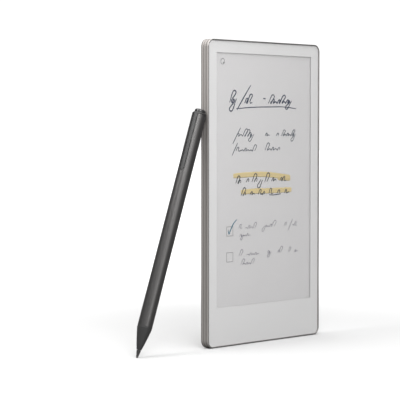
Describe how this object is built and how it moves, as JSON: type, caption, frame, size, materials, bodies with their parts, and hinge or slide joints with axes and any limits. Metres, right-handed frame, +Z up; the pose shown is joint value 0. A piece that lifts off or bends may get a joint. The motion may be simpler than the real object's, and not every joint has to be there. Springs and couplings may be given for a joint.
{
  "type": "e-paper writing tablet with stylus",
  "caption": "Slim upright writing tablet with a pale e-paper page and metal frame, and a round dark stylus leaning on its side edge.",
  "frame": {"origin": "middle of the tablet's short bottom edge, on the surface that it stands on", "axes": "+X across the tablet's width, to the right as its page is read; +Y through its thickness, from the page to the rear cover; +Z up its height"},
  "size_m": [0.1667, 0.0092, 0.1958],
  "materials": {
    "frame_metal": "satin",
    "clear_glass": "satin",
    "cover_metal": "matte",
    "foot_rubber": "matte",
    "black_adhesive": "matte",
    "radio_plastic": "matte",
    "bezel_print": "matte",
    "clear_film": "gloss",
    "page_film": "matte",
    "light_flex": "satin",
    "board_green": "satin",
    "amber_flex": "satin",
    "plate_metal": "satin",
    "bright_steel": "satin",
    "chip_black": "satin",
    "soft_pad": "matte",
    "battery_foil": "satin",
    "cable_black": "satin",
    "magnet_plate": "polished",
    "copper_wire": "satin",
    "button_metal": "satin",
    "pen_coat": "matte",
    "pen_plastic": "matte",
    "nib_plastic": "matte",
    "eraser_plastic": "gloss",
    "carrier_plastic": "matte"
  },
  "bodies": {
    "tablet": {"antenna_cable": "cable_black", "battery_adhesive": "black_adhesive", "battery_cell": "battery_foil", "battery_flex": "amber_flex", "battery_protection_board": "board_green", "bezel_mask": "bezel_print", "board_connectors": "chip_black", "board_screws": "bright_steel", "board_standoffs": "bright_steel", "bracket_screws": "bright_steel", "cover_adhesive": "black_adhesive", "digitizer_board": "board_green", "display_flex": "amber_flex", "display_gasket": "black_adhesive", "dock_coil": "copper_wire", "dock_magnets": "magnet_plate", "dock_window": "radio_plastic", "epaper_panel": "page_film", "folio_magnets": "magnet_plate", "front_glass": "clear_glass", "light_guide": "clear_film", "light_strip": "light_flex", "main_board": "board_green", "memory_chips": "chip_black", "mid_plate": "plate_metal", "power_chip": "chip_black", "power_switch": "chip_black", "processor_chip": "chip_black", "rear_cover": "cover_metal", "rear_feet": "foot_rubber", "shield_can": "bright_steel", "side_frame": "frame_metal", "switch_bracket": "bright_steel", "switch_flex": "amber_flex", "thermal_pad": "soft_pad", "touch_sensor": "clear_film", "usb_board": "board_green", "usb_flex": "amber_flex", "usb_receptacle": "bright_steel", "usb_screws": "bright_steel", "usb_tongue": "chip_black", "wifi_antenna": "radio_plastic", "wifi_module": "bright_steel"},
    "power_button": {"power_button": "button_metal"},
    "stylus": {"pen_barrel": "pen_coat", "pen_battery": "battery_foil", "pen_board_chips": "chip_black", "pen_charging_coil": "copper_wire", "pen_chassis": "carrier_plastic", "pen_circuit_board": "board_green", "pen_end_collar": "pen_plastic", "pen_eraser_sensor": "chip_black", "pen_force_sensor": "bright_steel", "pen_front_cone": "pen_plastic", "pen_magnet_holder": "carrier_plastic", "pen_magnets": "magnet_plate"},
    "nib": {"pen_nib": "nib_plastic", "pen_nib_holder": "nib_plastic"},
    "eraser": {"pen_eraser_cap": "eraser_plastic", "pen_eraser_retainer": "bright_steel"}
  },
  "joints": [
    {"name": "stylus_lean", "type": "hinge", "parent": "tablet", "child": "stylus", "pos_m": [-0.11074, 0.0003, 0.0046], "axis": [0, -1, 0], "range_deg": [0, 110.1]},
    {"name": "nib_press", "type": "slide", "parent": "stylus", "child": "nib", "axis": [0.3437, 0, 0.9391], "range_m": [0, 0.0003], "stiffness_N_per_m": 4000},
    {"name": "eraser_press", "type": "slide", "parent": "stylus", "child": "eraser", "axis": [-0.3437, 0, -0.9391], "range_m": [0, 0.0003], "stiffness_N_per_m": 4000},
    {"name": "power_press", "type": "slide", "parent": "tablet", "child": "power_button", "axis": [0, 0, -1], "range_m": [0, 0.0003], "stiffness_N_per_m": 4000}
  ]
}
